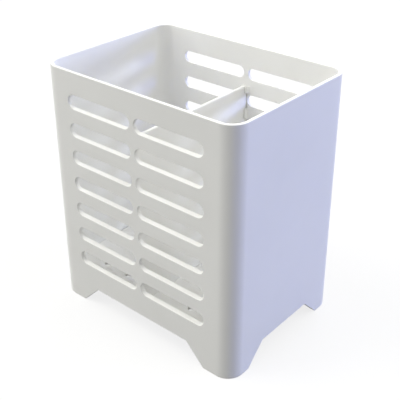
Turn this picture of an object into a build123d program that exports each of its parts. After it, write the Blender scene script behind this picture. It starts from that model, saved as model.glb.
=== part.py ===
"""Chopstick and cutlery holder: a slotted box on corner feet, a drain floor and a divider.

Millimetres, +Z up. The width runs along X, and the front wall faces -Y. The origin is the centre of the
footprint, on the surface that the feet stand on. The drain floor rests on a ledge inside the box and
lifts out through the top. The divider stands on the drain floor between guide lugs, and lifts out alone.
"""
from build123d import *
import math
import os

# Box
height = 150.0
width = 134.0
depth = 97.5
corner_radius = 10.0        # of the upright corners, outside
rim_wall = 2.0              # wall at the rim
draft_angle = 0.3           # the inside faces lean outwards towards the rim
rim_rounding = 0.4

# Feet, left between a notch in the bottom edge of each wall
foot_width = 19.3           # of a foot along X, at its sole
foot_depth = 15.6           # of a foot along Y, at its sole
foot_wall = 3.0
notch_height = 12.4
notch_flank = 45.0          # slope of the notch's two ends
notch_rounding = 1.5
sole_rounding = 1.0         # where a notch's end meets the sole

# Slots in the front and back walls
slot_rows = 7
slot_height = 8.6           # on the outside of the wall
slot_narrowing = 0.8        # above and below, from the outside to the inside, so that water runs out
slot_strip = 3.0            # solid strip between the two columns
side_margin = 19.0          # from the side of the box to the nearest slot end
top_band = 13.1             # from the rim to the top row
bottom_band = 27.8          # from the feet to the bottom row
slot_rounding = 0.25

# Ledge and drain floor
ledge_height = 18.0         # from the feet to the face that the drain floor rests on
ledge_thickness = 2.6
ledge_width = 3.0
floor_thickness = 2.0
floor_rounding = 0.3
floor_gap = 0.35            # round the edge of the drain floor
drain_diameter = 3.4
drain_chamfer = 0.4
drain_columns = 2           # in each compartment
drain_rows = 4
drain_side = 21.2           # from the inside of the side wall to the outer column
drain_pitch_x = 18.0
drain_pitch_y = 22.0

# Divider and its guides
divider_thickness = 2.0
divider_drop = 24.8         # from the rim down to its top edge
divider_rounding = 0.8      # of its top edge
divider_corner = 1.5
divider_end_gap = 0.3
tab_length = 14.0
tab_spacing = 50.0
tab_gap = 0.2
tab_recess = 0.3            # the tabs stop this far above the floor's underside
guide_gap = 0.25            # each side of the divider, between the lugs
lug_reach = 2.5
lug_tip = 0.6
lug_cove = 2.0              # hollow rounding of a lug's outer side
lug_margin = 0.6            # from a lug to the slots above and below it
lug_shortest = 2.0
lug_lead = 0.5              # chamfer of a lug's upper tip

same = 0.01                 # lengths closer than this are taken as equal
nearly = 0.3                # the draft of the wall changes the slots' inside edges by less than this

draft_slope = math.tan(math.radians(draft_angle))
floor_top = ledge_height + floor_thickness
divider_top = height - divider_drop
slot_pitch = (height - top_band - bottom_band - slot_height) / (slot_rows - 1)
slot_length = width / 2 - side_margin - slot_strip / 2


def wall_at(z):
    """Thickness of the box's wall at a height."""
    return rim_wall + (height - z) * draft_slope


def inside_outline(z, gap=0.0):
    """Plan of the box's inside at a height, shrunk by a gap."""
    inset = wall_at(z) + gap
    return RectangleRounded(width - 2 * inset, depth - 2 * inset, corner_radius - inset)


def slot_bottom(row):
    """Lower edge of a row of slots, counted from the bottom."""
    return bottom_band + row * slot_pitch


def notch(span, foot, length):
    """Cutter for the notches in two opposite walls: a trapezium with rounded upper corners."""
    half = span / 2 - foot
    run = notch_height / math.tan(math.radians(notch_flank))
    outline = Polygon(
        (-half - run, -notch_height),
        (half + run, -notch_height),
        (half - run, notch_height),
        (run - half, notch_height),
        align=None,
    )
    outline = fillet(outline.vertices().group_by(Axis.Y)[-1], notch_rounding)
    return extrude(Plane.XZ * outline, length, both=True)


def slot_outline(across, y, middle, high):
    """Upright outline of a slot: two level lines and two half circles."""
    half = slot_length / 2
    flat = half - high / 2
    top = middle + high / 2
    bottom = middle - high / 2
    with BuildLine() as outline:
        Line((across - flat, y, bottom), (across + flat, y, bottom))
        ThreePointArc((across + flat, y, bottom), (across + half, y, middle), (across + flat, y, top))
        Line((across + flat, y, top), (across - flat, y, top))
        ThreePointArc((across - flat, y, top), (across - half, y, middle), (across - flat, y, bottom))
    return Face(outline.wire())


def slot_cutter(across, middle, side):
    """One slot through the front wall, side -1, or the back wall, side 1, lower inside than outside."""
    wall = wall_at(middle)
    narrowing = 2 * slot_narrowing
    outside = slot_outline(across, side * (depth / 2 + wall), middle, slot_height + narrowing)
    inside = slot_outline(across, side * (depth / 2 - 2 * wall), middle, slot_height - 2 * narrowing)
    return loft([outside, inside], ruled=True)


def slot_cutters():
    """Every slot in the front and back walls."""
    cutters = []
    for row in range(slot_rows):
        middle = slot_bottom(row) + slot_height / 2
        for column in (-1, 1):
            across = column * (slot_strip + slot_length) / 2
            cutters += [slot_cutter(across, middle, side) for side in (-1, 1)]
    return cutters


def lug_spans():
    """Lowest and highest z of each guide lug: one on each band of wall, up to the divider's top."""
    bands = [(floor_top, slot_bottom(0))]
    for row in range(slot_rows - 1):
        bands.append((slot_bottom(row) + slot_height, slot_bottom(row + 1)))
    spans = []
    for low, high in bands:
        bottom = low + lug_margin
        top = min(high, divider_top) - lug_margin
        if top - bottom >= lug_shortest:
            spans.append((bottom, top))
    return spans


def guide_lug(bottom, top):
    """One lug on the back wall, right of the divider, rooted in the wall."""
    face = depth / 2 - wall_at(bottom)
    near = divider_thickness / 2 + guide_gap
    tip = face - lug_reach
    root = face + rim_wall / 2
    with BuildSketch() as plan:
        with BuildLine():
            Line((near, root), (near, tip))
            Line((near, tip), (near + lug_tip, tip))
            Line((near + lug_tip, tip), (near + lug_tip, face - lug_cove))
            RadiusArc((near + lug_tip, face - lug_cove), (near + lug_tip + lug_cove, face), lug_cove)
            Line((near + lug_tip + lug_cove, face), (near + lug_tip + lug_cove, root))
            Line((near + lug_tip + lug_cove, root), (near, root))
        make_face()
    lug = extrude(Pos(0, 0, bottom) * plan.sketch, top - bottom)
    upper = lug.edges().group_by(Axis.Z)[-1]
    return chamfer(upper.sort_by(Axis.X)[0], lug_lead)


def guide_lugs():
    """Lugs on both walls and both sides of the divider."""
    lugs = []
    for bottom, top in lug_spans():
        lug = guide_lug(bottom, top)
        pair = [lug, mirror(lug, Plane.YZ)]
        lugs += pair + [mirror(each, Plane.XZ) for each in pair]
    return lugs


def slot_edges(body):
    """Both edge loops of every slot, on the outer and the inner faces of the slotted walls."""
    shortest = slot_length - slot_height - nearly
    longest = slot_length - slot_height + 2 * slot_narrowing + nearly
    found = []
    for edge in body.edges():
        run = edge.position_at(1) - edge.position_at(0)
        level = abs(run.Y) < same and abs(run.Z) < same
        if level and shortest < edge.length < longest and shortest < abs(run.X):
            found.append(edge)
    return found


def outer_shell():
    """Four walls with slots, feet, ledge and guide lugs, in one moulding."""
    body = extrude(RectangleRounded(width, depth, corner_radius), height)
    rim = Pos(0, 0, height) * inside_outline(height)
    body -= extrude(rim, height - ledge_height, dir=(0, 0, -1), taper=draft_angle)
    inset = wall_at(ledge_height) + ledge_width
    foot_corner = corner_radius - foot_wall
    body -= extrude(RectangleRounded(width - 2 * inset, depth - 2 * inset, foot_corner), ledge_height)
    under = RectangleRounded(width - 2 * foot_wall, depth - 2 * foot_wall, foot_corner)
    body -= extrude(under, ledge_height - ledge_thickness)
    body = fillet(body.edges().group_by(Axis.Z)[-1], rim_rounding)
    body -= notch(width, foot_width, depth)
    body -= Rot(0, 0, 90) * notch(depth, foot_depth, width)
    soles = body.edges().group_by(Axis.Z)[0].filter_by(GeomType.LINE)
    body = fillet([edge for edge in soles if abs(edge.length - foot_wall) < same], sole_rounding)
    body -= slot_cutters()
    body = fillet(slot_edges(body), slot_rounding)
    body += guide_lugs()
    return body


def drain_holes():
    """Centres of the drain holes, in equal groups either side of the divider."""
    outer_column = width / 2 - wall_at(floor_top) - drain_side
    middle = outer_column - (drain_columns - 1) * drain_pitch_x / 2
    centres = []
    for side in (-1, 1):
        for place in GridLocations(drain_pitch_x, drain_pitch_y, drain_columns, drain_rows):
            centres.append(Pos(side * middle, 0, 0) * place)
    return centres


def drain_floor():
    """Plate with drain holes, sockets for the divider's tabs, and clearance round the guide lugs."""
    plate = extrude(Pos(0, 0, ledge_height) * inside_outline(ledge_height, floor_gap), floor_thickness)
    plate = fillet(plate.edges().group_by(Axis.Z)[-1], floor_rounding)
    through = 3 * floor_thickness
    lug_width = 2 * (divider_thickness / 2 + guide_gap + lug_tip + lug_cove + floor_gap)
    lug_room = Box(lug_width, 2 * (lug_reach + floor_gap), through)
    socket = Box(divider_thickness + 2 * tab_gap, tab_length + 2 * tab_gap, through)
    hole = Cylinder(drain_diameter / 2, through)
    mouth = Cone(drain_diameter / 2, drain_diameter / 2 + drain_chamfer, drain_chamfer)
    edge = depth / 2 - wall_at(ledge_height)
    cutters = []
    for side in (-1, 1):
        cutters.append(Pos(0, side * edge, floor_top) * lug_room)
        cutters.append(Pos(0, side * tab_spacing / 2, floor_top) * socket)
    for place in drain_holes():
        cutters.append(Pos(0, 0, floor_top) * place * hole)
        cutters.append(Pos(0, 0, floor_top - drain_chamfer / 2) * place * mouth)
    return plate - cutters


def divider():
    """Flat panel, as tapered at its ends as the walls it stands between, with tabs under it."""
    foot = depth / 2 - wall_at(floor_top) - divider_end_gap
    head = depth / 2 - wall_at(divider_top) - divider_end_gap
    side_view = Polygon(
        (-foot, floor_top),
        (foot, floor_top),
        (head, divider_top),
        (-head, divider_top),
        align=None,
    )
    side_view = fillet(side_view.vertices().group_by(Axis.Y)[-1], divider_corner)
    half = divider_thickness / 2
    panel = extrude(Plane.YZ * side_view, half, both=True)
    top = panel.edges().filter_by_position(Axis.Z, divider_top - divider_corner, divider_top)
    panel = fillet([edge for edge in top if abs(abs(edge.center().X) - half) < same], divider_rounding)
    tab_depth = floor_thickness - tab_recess
    tab = Box(divider_thickness, tab_length, tab_depth, align=(Align.CENTER, Align.CENTER, Align.MAX))
    for side in (-1, 1):
        panel += Pos(0, side * tab_spacing / 2, floor_top) * tab
    return panel


def main():
    os.makedirs("parts", exist_ok=True)
    export_step(outer_shell(), "parts/outer_shell.step")
    export_step(drain_floor(), "parts/drain_floor.step")
    export_step(divider(), "parts/divider.step")


main()
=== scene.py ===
"""Chopstick and cutlery holder: the looks of its three moulded pieces, the floor, the light and the camera.

Metres, +Z up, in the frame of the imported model. The front slotted wall faces -Y. The box, the drain floor
and the divider are modelled here as meshes, each in the place and at the size of its node in the frame.
"""
import math

import bmesh
import bpy
from mathutils import Matrix, Quaternion, Vector

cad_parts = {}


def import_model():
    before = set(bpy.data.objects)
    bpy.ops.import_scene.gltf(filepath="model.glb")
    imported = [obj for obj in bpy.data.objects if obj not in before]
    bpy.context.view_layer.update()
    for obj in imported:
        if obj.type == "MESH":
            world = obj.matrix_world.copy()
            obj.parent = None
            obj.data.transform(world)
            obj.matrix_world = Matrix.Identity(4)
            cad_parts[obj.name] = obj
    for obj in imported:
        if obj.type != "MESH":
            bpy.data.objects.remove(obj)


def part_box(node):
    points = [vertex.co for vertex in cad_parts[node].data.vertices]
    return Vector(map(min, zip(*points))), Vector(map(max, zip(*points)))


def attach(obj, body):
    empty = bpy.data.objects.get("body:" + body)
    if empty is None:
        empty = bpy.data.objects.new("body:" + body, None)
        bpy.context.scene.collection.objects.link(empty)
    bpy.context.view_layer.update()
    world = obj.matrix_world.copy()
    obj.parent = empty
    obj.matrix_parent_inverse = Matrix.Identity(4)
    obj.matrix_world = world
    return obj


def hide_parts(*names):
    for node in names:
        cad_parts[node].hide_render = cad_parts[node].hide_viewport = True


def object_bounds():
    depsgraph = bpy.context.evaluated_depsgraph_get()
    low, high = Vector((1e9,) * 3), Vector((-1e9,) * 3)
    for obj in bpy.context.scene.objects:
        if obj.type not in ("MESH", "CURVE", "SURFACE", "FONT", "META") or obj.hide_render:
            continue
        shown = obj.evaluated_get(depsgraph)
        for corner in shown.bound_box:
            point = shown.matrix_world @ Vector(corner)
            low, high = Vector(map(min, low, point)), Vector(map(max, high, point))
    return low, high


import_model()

cad_low, cad_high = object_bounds()
mm = 0.001

# Box -----------------------------------------------------------------------------------------------------

box_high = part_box("outer_shell")[1]
half_width = box_high.x
half_depth = box_high.y
height = box_high.z
corner_radius = 10.0 * mm
rim_wall = 2.0 * mm
draft = math.tan(math.radians(0.3))     # the inside faces lean outwards towards the rim
rim_rounding = 0.4 * mm

# Feet, left between the notches in the bottom edge of each wall
foot_width = 19.3 * mm
foot_depth = 15.6 * mm
foot_wall = 3.0 * mm
notch_height = 12.4 * mm
notch_rounding = 1.5 * mm
sole_rounding = 1.0 * mm
bottom_edge_rounding = 0.3 * mm

# Slots, two columns in the front wall and in the back wall
slot_rows = 7
slot_height = 8.6 * mm                  # on the outside of the wall
slot_narrowing = 0.8 * mm               # above and below, from the outside to the inside
slot_strip = 3.0 * mm
side_margin = 19.0 * mm
top_band = 13.1 * mm
bottom_band = 27.8 * mm
slot_rounding = 0.25 * mm

# Ledge that the drain floor rests on
ledge_thickness = 2.6 * mm
ledge_width = 3.0 * mm
ledge_rounding = 0.4 * mm

# Guide lugs for the divider
guide_gap = 0.25 * mm
lug_reach = 2.5 * mm
lug_tip = 0.6 * mm
lug_cove = 2.0 * mm
lug_margin = 0.6 * mm
lug_lead = 0.5 * mm
lug_shortest = 2.0 * mm
root = 0.02 * mm                        # a lug is sunk this far into the wall, so that the two join

# Drain floor
floor_low, floor_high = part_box("drain_floor")
plate_rounding = 0.3 * mm
drain_radius = 1.7 * mm
drain_mouth = 0.4 * mm                  # rounding of a drain hole's upper edge
drain_columns = 2
drain_rows = 4
drain_side = 21.2 * mm
drain_pitch_x = 18.0 * mm
drain_pitch_y = 22.0 * mm

# Divider
divider_low, divider_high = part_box("divider")
divider_half = divider_high.x
divider_rounding = 0.8 * mm
divider_corner = 1.5 * mm
divider_edge = 0.3 * mm
divider_end_gap = 0.3 * mm
tab_length = 14.0 * mm
tab_spacing = 50.0 * mm
tab_gap = 0.2 * mm
tab_rounding = 0.2 * mm

ledge_top = floor_low.z
floor_top = floor_high.z
divider_top = divider_high.z
slot_pitch = (height - top_band - bottom_band - slot_height) / (slot_rows - 1)
slot_length = half_width - side_margin - slot_strip / 2
overrun = 1.0 * mm                      # how far a cutter reaches past the face that it cuts

# Steps that round shapes are made of
corner_steps = 14                       # in an upright corner of the box
end_steps = 20                          # in the half circle of a slot's end
fillet_steps = 5                        # in a rounded edge
bottom_edge_steps = 3
divider_corner_steps = 6
hole_steps = 32                         # round a drain hole

same_point = 0.0001 * mm                # points closer than this are made one
same_face = 0.001 * mm
smooth_below = math.radians(35)         # steeper edges stay sharp


def wall_at(z):
    """Thickness of the box's wall at a height."""
    return rim_wall + (height - z) * draft


def slot_bottom(row):
    """Lower edge of a row of slots, counted from the bottom."""
    return bottom_band + row * slot_pitch


# Mesh work -----------------------------------------------------------------------------------------------

def turns(steps):
    """A quarter turn in equal steps."""
    return [math.pi / 2 * i / steps for i in range(steps + 1)]


def rounded_corner(before, corner, after, radius, steps):
    """Points of the arc that rounds one corner of a flat outline."""
    corner = Vector(corner)
    to_before = (Vector(before) - corner).normalized()
    to_after = (Vector(after) - corner).normalized()
    half_angle = to_before.angle(to_after) / 2
    run = radius / math.tan(half_angle)
    centre = corner + (to_before + to_after).normalized() * (radius / math.sin(half_angle))
    first = corner + to_before * run - centre
    last = corner + to_after * run - centre
    start = math.atan2(first.y, first.x)
    sweep = (math.atan2(last.y, last.x) - start + math.pi) % (2 * math.pi) - math.pi
    angles = [start + sweep * i / steps for i in range(steps + 1)]
    return [(centre.x + radius * math.cos(a), centre.y + radius * math.sin(a)) for a in angles]


def inward_mitres(outline):
    """For each point of an anticlockwise outline, the move that insets both its sides by one."""
    mitres = []
    for i, point in enumerate(outline):
        before = Vector(point) - Vector(outline[i - 1])
        after = Vector(outline[(i + 1) % len(outline)]) - Vector(point)
        across_before = Vector((-before.y, before.x)).normalized()
        across_after = Vector((-after.y, after.x)).normalized()
        total = across_before + across_after
        mitres.append(total * (2 / total.length_squared))
    return mitres


def loft(rings, closed=False):
    """A skin of quads over rings of points, capped at both ends unless the last ring joins the first."""
    work = bmesh.new()
    loops = [[work.verts.new(point) for point in ring] for ring in rings]
    pairs = list(zip(loops, loops[1:]))
    if closed:
        pairs.append((loops[-1], loops[0]))
    for lower, upper in pairs:
        for i in range(len(lower)):
            j = (i + 1) % len(lower)
            work.faces.new((lower[i], lower[j], upper[j], upper[i]))
    if not closed:
        work.faces.new(loops[0])
        work.faces.new(loops[-1])
    bmesh.ops.remove_doubles(work, verts=work.verts, dist=same_point)
    bmesh.ops.recalc_face_normals(work, faces=work.faces)
    return work


def to_object(name, work):
    """Puts worked geometry into the scene as an object."""
    mesh = bpy.data.meshes.new(name)
    work.to_mesh(mesh)
    work.free()
    thing = bpy.data.objects.new(name, mesh)
    bpy.context.scene.collection.objects.link(thing)
    return thing


def apply_modifiers(piece):
    """Makes a piece's modifiers part of its mesh."""
    bpy.context.view_layer.update()
    evaluated = piece.evaluated_get(bpy.context.evaluated_depsgraph_get())
    result = bpy.data.meshes.new_from_object(evaluated)
    old = piece.data
    piece.modifiers.clear()
    piece.data = result
    bpy.data.meshes.remove(old)


def combine(piece, works, operation):
    """Cuts solids out of a piece, or joins them to it."""
    total = bmesh.new()
    for work in works:
        mesh = bpy.data.meshes.new("tool")
        work.to_mesh(mesh)
        work.free()
        total.from_mesh(mesh)
        bpy.data.meshes.remove(mesh)
    tool = to_object("tool", total)
    step = piece.modifiers.new("combine", "BOOLEAN")
    step.operation = operation
    step.solver = "EXACT"
    step.object = tool
    apply_modifiers(piece)
    bpy.data.meshes.remove(tool.data)


def soften(piece):
    """Smooth shading over the roundings, with flat faces kept flat."""
    for polygon in piece.data.polygons:
        polygon.use_smooth = True
    piece.data.set_sharp_from_angle(angle=smooth_below)
    weighting = piece.modifiers.new("weighting", "WEIGHTED_NORMAL")
    weighting.keep_sharp = True
    weighting.weight = 100
    apply_modifiers(piece)


# The slotted box -----------------------------------------------------------------------------------------

def notched_edge(half_span, foot):
    """Bottom edge of half a wall, as distance from its middle and height: notch, flank and sole."""
    toe = half_span - foot
    head = toe - notch_height
    upper = rounded_corner((0, notch_height), (head, notch_height), (toe, 0), notch_rounding, fillet_steps)
    lower = rounded_corner((head, notch_height), (toe, 0), (half_span, 0), sole_rounding, fillet_steps)
    return [(0.0, notch_height)] + upper + lower


def stations():
    """Places round the walls, anticlockwise from the middle of the front, with the bottom's height there."""
    quarter = [("long", along, bottom) for along, bottom in notched_edge(half_width, foot_width)]
    quarter += [("corner", math.pi / 2 * i / corner_steps, 0.0) for i in range(corner_steps + 1)]
    quarter += [("short", along, bottom) for along, bottom in reversed(notched_edge(half_depth, foot_depth))]
    mirrored = quarter[::-1]
    places = []
    for sign_x, sign_y, part in ((1, -1, quarter), (1, 1, mirrored), (-1, 1, quarter), (-1, -1, mirrored)):
        for kind, value, bottom in part[:-1]:
            places.append((kind, value, bottom, sign_x, sign_y))
    return places


def ring_round(places, inset, radius, level=None):
    """A ring of points round the box at an inset from its outside, level or along the bottom edge."""
    points = []
    for kind, value, bottom, sign_x, sign_y in places:
        x, y = half_width - inset, half_depth - inset
        if kind == "long":
            x = value
        elif kind == "short":
            y = value
        else:
            x += radius * (math.sin(value) - 1)
            y += radius * (math.cos(value) - 1)
        points.append((sign_x * x, sign_y * y, bottom if level is None else level))
    return points


def box_walls():
    """Walls, rim, ledge and feet as one closed skin: up the outside, over the rim and down the inside."""
    places = stations()
    rings = [ring_round(places, 0.0, corner_radius)]
    for turn in turns(fillet_steps):
        inset = rim_rounding * (1 - math.cos(turn))
        level = height - rim_rounding * (1 - math.sin(turn))
        rings.append(ring_round(places, inset, corner_radius - inset, level))
    for turn in turns(fillet_steps):
        inset = rim_wall - rim_rounding * (1 - math.sin(turn))
        level = height - rim_rounding * (1 - math.cos(turn))
        rings.append(ring_round(places, inset, corner_radius - inset, level))
    inside = wall_at(ledge_top)
    reach = inside + ledge_width
    foot_corner = corner_radius - foot_wall
    rings.append(ring_round(places, inside, corner_radius - inside, ledge_top))
    for turn in turns(fillet_steps):
        inset = reach - ledge_rounding * (1 - math.sin(turn))
        level = ledge_top - ledge_rounding * (1 - math.cos(turn))
        rings.append(ring_round(places, inset, foot_corner, level))
    ledge_bottom = ledge_top - ledge_thickness
    rings.append(ring_round(places, reach, foot_corner, ledge_bottom))
    rings.append(ring_round(places, foot_wall, foot_corner, ledge_bottom))
    rings.append(ring_round(places, foot_wall, foot_corner))
    return loft(rings, closed=True)


def on_outside(point):
    """True for a point on the box's outer faces or outer corners."""
    over_x = abs(point.x) - half_width + corner_radius
    over_y = abs(point.y) - half_depth + corner_radius
    if over_x > 0 and over_y > 0:
        reach = math.hypot(over_x, over_y)
    else:
        reach = max(over_x, over_y)
    return abs(reach - corner_radius) < same_face


def round_bottom_edge(work):
    """Rounds the outer edge of the soles and the notches."""
    edges = []
    for edge in work.edges:
        low = max(vertex.co.z for vertex in edge.verts) < ledge_top
        if low and len(edge.link_faces) == 2 and all(on_outside(vertex.co) for vertex in edge.verts):
            outer = [all(on_outside(vertex.co) for vertex in face.verts) for face in edge.link_faces]
            if outer.count(True) == 1:
                edges.append(edge)
    bmesh.ops.bevel(work, geom=edges, affect="EDGES", offset=bottom_edge_rounding,
                    segments=bottom_edge_steps, profile=0.5)


def slot_outline(across, middle, high, grow):
    """Outline of a slot with round ends as X and Z, grown all round."""
    radius = high / 2 + grow
    half = (slot_length - high) / 2
    points = []
    for side, start in ((1, -math.pi / 2), (-1, math.pi / 2)):
        centre = across + side * half
        for i in range(end_steps + 1):
            angle = start + math.pi * i / end_steps
            points.append((centre + radius * math.cos(angle), middle + radius * math.sin(angle)))
    return points


def slot_cutter(across, row):
    """Cuts one slot through both slotted walls, lower inside than outside, with its four rims rounded."""
    middle = slot_bottom(row) + slot_height / 2
    wall = wall_at(middle)
    flare = []
    for turn in turns(fillet_steps):
        flare.append((slot_rounding * (1 - math.cos(turn)), slot_rounding * (1 - math.sin(turn))))
    outer = [(-overrun, slot_rounding)] + flare
    rings = []
    for side, from_outside, steps in (
            (-1, True, outer), (-1, False, flare[::-1]), (1, False, flare), (1, True, outer[::-1])):
        for depth, grow in steps:
            sunk = depth if from_outside else wall - depth
            high = slot_height - 2 * slot_narrowing * sunk / wall
            points = []
            for x, z in slot_outline(across, middle, high, grow):
                y = half_depth - depth if from_outside else half_depth - wall_at(z) + depth
                points.append((x, side * y, z))
            rings.append(points)
    return loft(rings)


def lug_spans():
    """Lowest and highest Z of each guide lug, one on each band of wall up to the divider's top."""
    bands = [(floor_top, slot_bottom(0))]
    for row in range(slot_rows - 1):
        bands.append((slot_bottom(row) + slot_height, slot_bottom(row + 1)))
    spans = [(low + lug_margin, min(high, divider_top) - lug_margin) for low, high in bands]
    return [(low, high) for low, high in spans if high - low >= lug_shortest]


def guide_lug(low, high, sign_x, sign_y):
    """One lug beside the divider: hollow on its far side, with a lead-in at its top."""
    face = half_depth - wall_at(low) + root
    near = divider_half + guide_gap
    far = near + lug_tip
    outline = [(near, face + overrun), (near, face - lug_reach), (far, face - lug_reach)]
    for turn in turns(fillet_steps):
        outline.append((far + lug_cove * (1 - math.cos(turn)), face - lug_cove * (1 - math.sin(turn))))
    outline.append((far + lug_cove, face + overrun))
    rings = []
    for z, lead in ((low, 0.0), (high - lug_lead, 0.0), (high, lug_lead)):
        rings.append([(sign_x * max(x, near + lead), sign_y * y, z) for x, y in outline])
    return loft(rings)


def slotted_box():
    """The outer shell: slotted walls on four feet, with the ledge and the guide lugs."""
    work = box_walls()
    round_bottom_edge(work)
    box = to_object("slotted_box", work)
    across = (slot_strip + slot_length) / 2
    slots = [slot_cutter(side * across, row) for row in range(slot_rows) for side in (-1, 1)]
    combine(box, slots, "DIFFERENCE")
    signs = [(x, y) for x in (-1, 1) for y in (-1, 1)]
    lugs = [guide_lug(low, high, x, y) for low, high in lug_spans() for x, y in signs]
    combine(box, lugs, "UNION")
    soften(box)
    return box


# The drain floor -----------------------------------------------------------------------------------------

def plate_outline():
    """Outline of the drain floor, anticlockwise, with room for the guide lugs at the front and back."""
    half_x, half_y = floor_high.x, floor_high.y
    radius = corner_radius - (half_width - half_x)
    gap = half_depth - wall_at(ledge_top) - half_y
    room_x = divider_half + guide_gap + lug_tip + lug_cove + gap
    room_y = half_depth - wall_at(ledge_top) - lug_reach - gap
    quarter = [(room_x, room_y), (room_x, half_y)]
    for turn in turns(corner_steps):
        quarter.append((half_x - radius * (1 - math.sin(turn)), half_y - radius * (1 - math.cos(turn))))
    outline = [(x, -y) for x, y in quarter]
    outline += [(x, y) for x, y in reversed(quarter)]
    outline += [(-x, y) for x, y in quarter]
    outline += [(-x, -y) for x, y in reversed(quarter)]
    return outline


def drain_hole_centres():
    """Centres of the drain holes, in equal groups either side of the divider."""
    outer_column = half_width - wall_at(floor_top) - drain_side
    centres = []
    for side in (-1, 1):
        for column in range(drain_columns):
            for row in range(drain_rows):
                x = side * (outer_column - column * drain_pitch_x)
                centres.append((x, (row - (drain_rows - 1) / 2) * drain_pitch_y))
    return centres


def drain_cutter(x, y):
    """Cuts one drain hole, with its upper edge rounded."""
    steps = [(floor_low.z - overrun, 0.0)]
    for turn in turns(fillet_steps):
        steps.append((floor_top - drain_mouth * (1 - math.sin(turn)), drain_mouth * (1 - math.cos(turn))))
    steps.append((floor_top + overrun, drain_mouth))
    rings = []
    for z, grow in steps:
        radius = drain_radius + grow
        angles = [2 * math.pi * i / hole_steps for i in range(hole_steps)]
        rings.append([(x + radius * math.cos(a), y + radius * math.sin(a), z) for a in angles])
    return loft(rings)


def socket_cutter(side):
    """Cuts the opening that takes one of the divider's tabs."""
    half_x, half_y = divider_half + tab_gap, tab_length / 2 + tab_gap
    middle = side * tab_spacing / 2
    corners = [(-half_x, -half_y), (half_x, -half_y), (half_x, half_y), (-half_x, half_y)]
    levels = (floor_low.z - overrun, floor_top + overrun)
    return loft([[(x, middle + y, z) for x, y in corners] for z in levels])


def drain_plate():
    """The lift-out drain floor."""
    outline = plate_outline()
    mitres = inward_mitres(outline)
    rings = [[(x, y, floor_low.z) for x, y in outline]]
    for turn in turns(fillet_steps):
        inset = plate_rounding * (1 - math.cos(turn))
        z = floor_top - plate_rounding * (1 - math.sin(turn))
        rings.append([(x + m.x * inset, y + m.y * inset, z) for (x, y), m in zip(outline, mitres)])
    plate = to_object("drain_plate", loft(rings))
    cutters = [drain_cutter(x, y) for x, y in drain_hole_centres()]
    cutters += [socket_cutter(side) for side in (-1, 1)]
    combine(plate, cutters, "DIFFERENCE")
    soften(plate)
    return plate


# The divider ---------------------------------------------------------------------------------------------

def panel_outline():
    """Side view of the divider, anticlockwise: Y, Z and the rounding of its edge there."""
    foot = half_depth - wall_at(floor_top) - divider_end_gap
    head = half_depth - wall_at(divider_top) - divider_end_gap
    points = [(-foot, floor_top, divider_edge)]
    for side in (-1, 1):
        start = (side * tab_spacing - tab_length) / 2
        end = start + tab_length
        for y, z in ((start, floor_top), (start, divider_low.z), (end, divider_low.z), (end, floor_top)):
            points.append((y, z, tab_rounding))
    points.append((foot, floor_top, divider_edge))
    corner = rounded_corner(
        (foot, floor_top), (head, divider_top), (-head, divider_top), divider_corner, divider_corner_steps)
    upper = []
    for i, (y, z) in enumerate(corner):
        rounding = divider_edge + (divider_rounding - divider_edge) * i / divider_corner_steps
        upper.append((y, z, rounding))
    return points + upper + [(-y, z, rounding) for y, z, rounding in reversed(upper)]


def divider_panel():
    """The panel across the middle, with a rounded top edge and two tabs under it."""
    outline = panel_outline()
    mitres = inward_mitres([(y, z) for y, z, rounding in outline])
    quarter = turns(fillet_steps)
    rings = []
    for side, turn in [(-1, turn) for turn in reversed(quarter)] + [(1, turn) for turn in quarter]:
        points = []
        for (y, z, rounding), mitre in zip(outline, mitres):
            inset = rounding * (1 - math.cos(turn))
            x = side * (divider_half - rounding * (1 - math.sin(turn)))
            points.append((x, y + mitre.x * inset, z + mitre.y * inset))
        rings.append(points)
    panel = to_object("divider_panel", loft(rings))
    soften(panel)
    return panel


# Materials -----------------------------------------------------------------------------------------------

# Sizes of the patterns in moulded polypropylene
cloud_size = 45.0 * mm                  # cloudy shades, left by the melt
patch_size = 10.0 * mm                  # patches of gloss
spot_size = 1.5 * mm                    # scratches and dust on the faces that rub
grain_size = 0.7 * mm                   # really about 0.05 mm, too fine to show, so it is drawn this coarse
grain_depth = 0.006 * mm
noise_range = {"From Min": 0.3, "From Max": 0.7}
dust = "#D9D8D3"
polished = -0.08                        # change of roughness where hands hold it
roughened = 0.2                         # change of roughness where it rubs

# Where each piece is handled and where it rubs
held_rim = 14.0 * mm
scuffed_soles = 1.2 * mm
scuffed_underside = 0.4 * mm
held_edge = 12.0 * mm
never_held = (height, 2 * height)       # higher than the piece reaches

board_glow = 0.8                        # share of the white board's face that no shadow darkens


def linear(hex_colour):
    """An sRGB hex colour as linear red, green, blue and full alpha."""
    channels = [int(hex_colour[i:i + 2], 16) / 255 for i in (1, 3, 5)]
    return [c / 12.92 if c <= 0.04045 else ((c + 0.055) / 1.055) ** 2.4 for c in channels] + [1.0]


def add_node(tree, kind, links=None, **settings):
    """A shader node with its settings; links maps an input's name or number to a value or an output."""
    node = tree.nodes.new(kind)
    for name, value in settings.items():
        setattr(node, name, value)
    for socket, value in (links or {}).items():
        if isinstance(value, bpy.types.NodeSocket):
            tree.links.new(value, node.inputs[socket])
        else:
            node.inputs[socket].default_value = value
    return node


def new_material(name):
    """An empty material and its Principled shader."""
    material = bpy.data.materials.new(name)
    material.use_nodes = True
    return material, material.node_tree.nodes["Principled BSDF"]


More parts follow.
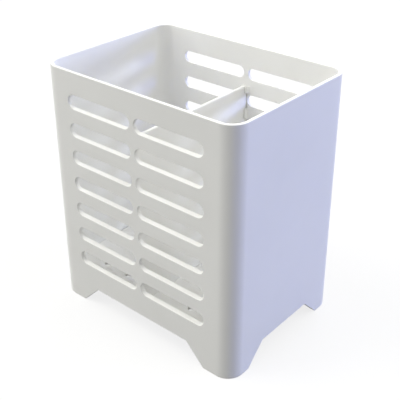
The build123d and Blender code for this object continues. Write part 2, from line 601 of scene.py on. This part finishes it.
def moulded_polypropylene(name, colour, flow_colour, gloss, glow, handled, scuffed):
    """White polypropylene, injection moulded in a spark-eroded tool.

    It is satin rather than shiny, and just translucent enough for its edges and slots to look soft. The melt
    leaves faint cloudy shades, and the tool leaves an even grain with slightly glossier patches. Hands polish
    the edges that they hold, and standing and sliding scuff the faces that rub. handled is the span of Z from
    untouched to most polished, and scuffed the span from most scuffed to untouched.
    """
    material, shader = new_material(name)
    tree = material.node_tree
    shader.inputs["IOR"].default_value = 1.49
    shader.inputs["Subsurface Weight"].default_value = glow
    shader.inputs["Subsurface Radius"].default_value = (1.0, 1.0, 1.0)
    shader.inputs["Subsurface Scale"].default_value = 0.5 * mm
    place = add_node(tree, "ShaderNodeTexCoord").outputs["Object"]
    level = add_node(tree, "ShaderNodeSeparateXYZ", {0: place}).outputs["Z"]
    held = add_node(tree, "ShaderNodeMapRange", {
        "Value": level, "From Min": handled[0], "From Max": handled[1]})
    rubbed = add_node(tree, "ShaderNodeMapRange", {
        "Value": level, "From Min": scuffed[1], "From Max": scuffed[0]})

    cloud = add_node(tree, "ShaderNodeTexNoise", {
        "Vector": place, "Scale": 1 / cloud_size, "Detail": 2.0})
    shade = add_node(tree, "ShaderNodeMapRange", {"Value": cloud.outputs[0], **noise_range})
    clean = add_node(tree, "ShaderNodeMix", {
        0: shade.outputs[0], 6: linear(colour), 7: linear(flow_colour)}, data_type="RGBA")
    spots = add_node(tree, "ShaderNodeTexNoise", {
        "Vector": place, "Scale": 1 / spot_size, "Detail": 3.0})
    dusty = add_node(tree, "ShaderNodeMath", {
        0: spots.outputs[0], 1: rubbed.outputs[0]}, operation="MULTIPLY")
    worn = add_node(tree, "ShaderNodeMix", {
        0: dusty.outputs[0], 6: clean.outputs[2], 7: linear(dust)}, data_type="RGBA")
    tree.links.new(worn.outputs[2], shader.inputs["Base Color"])

    patch = add_node(tree, "ShaderNodeTexNoise", {
        "Vector": place, "Scale": 1 / patch_size, "Detail": 2.0})
    satin = add_node(tree, "ShaderNodeMapRange", {
        "Value": patch.outputs[0], **noise_range, "To Min": gloss[0], "To Max": gloss[1]})
    smoother = add_node(tree, "ShaderNodeMath", {
        0: held.outputs[0], 1: polished, 2: satin.outputs[0]}, operation="MULTIPLY_ADD")
    rougher = add_node(tree, "ShaderNodeMath", {
        0: rubbed.outputs[0], 1: roughened, 2: smoother.outputs[0]}, operation="MULTIPLY_ADD")
    tree.links.new(rougher.outputs[0], shader.inputs["Roughness"])

    grain = add_node(tree, "ShaderNodeTexNoise", {
        "Vector": place, "Scale": 1 / grain_size, "Detail": 1.0})
    bump = add_node(tree, "ShaderNodeBump", {
        "Height": grain.outputs[0], "Strength": 1.0, "Distance": grain_depth})
    tree.links.new(bump.outputs[0], shader.inputs["Normal"])
    return material


def white_board():
    """Seamless white board: it takes the object's shadow, and is near white wherever it is seen."""
    material, board = new_material("white_board")
    tree = material.node_tree
    # A grey board's light falls on the object, so that its lower faces keep their shading
    board.inputs["Base Color"].default_value = linear("#5A5A5A")
    board.inputs["Roughness"].default_value = 0.9
    shaded = add_node(tree, "ShaderNodeBsdfDiffuse", {"Color": linear("#FFFFFF")})
    glow = add_node(tree, "ShaderNodeEmission", {"Color": linear("#FFFFFF"), "Strength": 1.0})
    face = add_node(tree, "ShaderNodeMixShader", {0: board_glow, 1: shaded.outputs[0], 2: glow.outputs[0]})
    mix = add_node(tree, "ShaderNodeMixShader", {0: seen_ray(tree), 1: board.outputs[0], 2: face.outputs[0]})
    tree.links.new(mix.outputs[0], tree.nodes["Material Output"].inputs["Surface"])
    return material


def seen_ray(tree):
    """1 for a camera, glossy or transmitted ray, and 0 for a ray that only carries light."""
    path = add_node(tree, "ShaderNodeLightPath")
    seen = path.outputs["Is Camera Ray"]
    for kind in ("Is Glossy Ray", "Is Transmission Ray"):
        either = add_node(tree, "ShaderNodeMath", {0: seen, 1: path.outputs[kind]}, operation="MAXIMUM")
        seen = either.outputs[0]
    return seen


# Floor, light and camera ---------------------------------------------------------------------------------

floor_reach = 3.0                       # from the object to the floor's edges
lamp_distance = 2.5


def floor():
    """A large floor under the feet."""
    corners = [(x * floor_reach, y * floor_reach, 0) for x, y in ((-1, -1), (1, -1), (1, 1), (-1, 1))]
    mesh = bpy.data.meshes.new("floor")
    mesh.from_pydata(corners, [], [(0, 1, 2, 3)])
    board = bpy.data.objects.new("floor", mesh)
    bpy.context.scene.collection.objects.link(board)
    mesh.materials.append(white_board())


def direction(azimuth, elevation):
    """Unit vector towards an azimuth, turned from -Y towards +X, and an elevation."""
    a, e = math.radians(azimuth), math.radians(elevation)
    return Vector((math.sin(a) * math.cos(e), -math.cos(a) * math.cos(e), math.sin(e)))


def lamp(name, azimuth, elevation, size, colour, power):
    """A square soft lamp, aimed at the middle of the object. Its size is in metres and its power in watts."""
    data = bpy.data.lights.new(name, "AREA")
    data.shape = "SQUARE"
    data.size = size
    data.color = linear(colour)[:3]
    data.energy = power
    lamp_object = bpy.data.objects.new(name, data)
    lamp_object.visible_camera = False
    bpy.context.scene.collection.objects.link(lamp_object)
    back = direction(azimuth, elevation)
    lamp_object.location = (cad_low + cad_high) / 2 + back * lamp_distance
    lamp_object.rotation_euler = back.to_track_quat("Z", "Y").to_euler()


def world(colour, strength):
    """Even light from all round, which shows as white behind the object."""
    sky = bpy.data.worlds.new("studio")
    bpy.context.scene.world = sky
    sky.use_nodes = True
    tree = sky.node_tree
    light = tree.nodes["Background"]
    light.inputs["Color"].default_value = linear(colour)
    light.inputs["Strength"].default_value = strength
    white = add_node(tree, "ShaderNodeBackground", {"Color": linear("#FFFFFF"), "Strength": 1.0})
    mix = add_node(tree, "ShaderNodeMixShader", {0: seen_ray(tree), 1: light.outputs[0], 2: white.outputs[0]})
    tree.links.new(mix.outputs[0], tree.nodes["World Output"].inputs["Surface"])


def camera():
    """The camera, above and to the right of the front wall."""
    azimuth, elevation, roll = 40.6252, 27.1388, math.radians(-0.1514)
    distance, right_offset, up_offset = 447.69 * mm, 3.14 * mm, 16.25 * mm
    data = bpy.data.cameras.new("camera")
    data.sensor_width = 36.0
    data.lens = 69.22
    data.shift_y = -0.10
    data.clip_start, data.clip_end = 0.01, 20.0
    view = bpy.data.objects.new("camera", data)
    bpy.context.scene.collection.objects.link(view)
    back = direction(azimuth, elevation)
    right = direction(azimuth + 90, 0)
    up = back.cross(right)
    centre = Vector((0, 0, height / 2))
    view.location = centre + back * distance + right * right_offset + up * up_offset
    view.rotation_mode = "QUATERNION"
    view.rotation_quaternion = Quaternion(back, roll) @ Matrix((right, up, back)).transposed().to_quaternion()
    bpy.context.scene.camera = view


# Its rim is held, and its soles rub on what it stands on
box_plastic = moulded_polypropylene(
    "box_polypropylene", "#FBFBF9", "#F6F6F4", gloss=(0.36, 0.46), glow=0.2,
    handled=(height - held_rim, height), scuffed=(0.0, scuffed_soles))
# Its underside rubs on the ledge, and nothing handles it much
floor_plastic = moulded_polypropylene(
    "drain_floor_polypropylene", "#FAFAF8", "#F4F4F1", gloss=(0.4, 0.52), glow=0.2,
    handled=never_held, scuffed=(ledge_top, ledge_top + scuffed_underside))
# Its top edge is what fingers lift it by, and its tabs rub in their sockets
divider_plastic = moulded_polypropylene(
    "divider_polypropylene", "#FBFBF9", "#F7F7F5", gloss=(0.34, 0.44), glow=0.25,
    handled=(divider_top - held_edge, divider_top), scuffed=(divider_low.z, floor_top))

for make, body, node, finish, plastic in (
        (slotted_box, "shell", "outer_shell", "shell", box_plastic),
        (drain_plate, "drain_floor", "drain_floor", "drain_floor", floor_plastic),
        (divider_panel, "divider", "divider", "divider", divider_plastic)):
    piece = make()
    piece.data.materials.clear()
    piece.data.materials.append(plastic)
    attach(piece, body)
    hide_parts(node)

floor()
lamp("front_lamp", -50, 55, 1.4, "#FFFEF6", 22.0)
lamp("high_front_lamp", -30, 75, 1.4, "#FFFEF8", 10.0)
lamp("low_front_lamp", -43, 13, 1.2, "#FFFFF8", 13.5)
lamp("right_back_lamp", 145, 7, 0.35, "#DCE6FF", 17.5)
lamp("right_lamp", 122, 6, 0.6, "#3A6AFF", 14.0)
lamp("high_right_lamp", 118, 60, 1.2, "#FFFFFF", 15.0)
lamp("left_back_lamp", -150, 15, 1.4, "#FFFAEC", 16.0)
world("#FFFFFF", 0.44)
camera()
bpy.context.scene.view_settings.view_transform = "Standard"
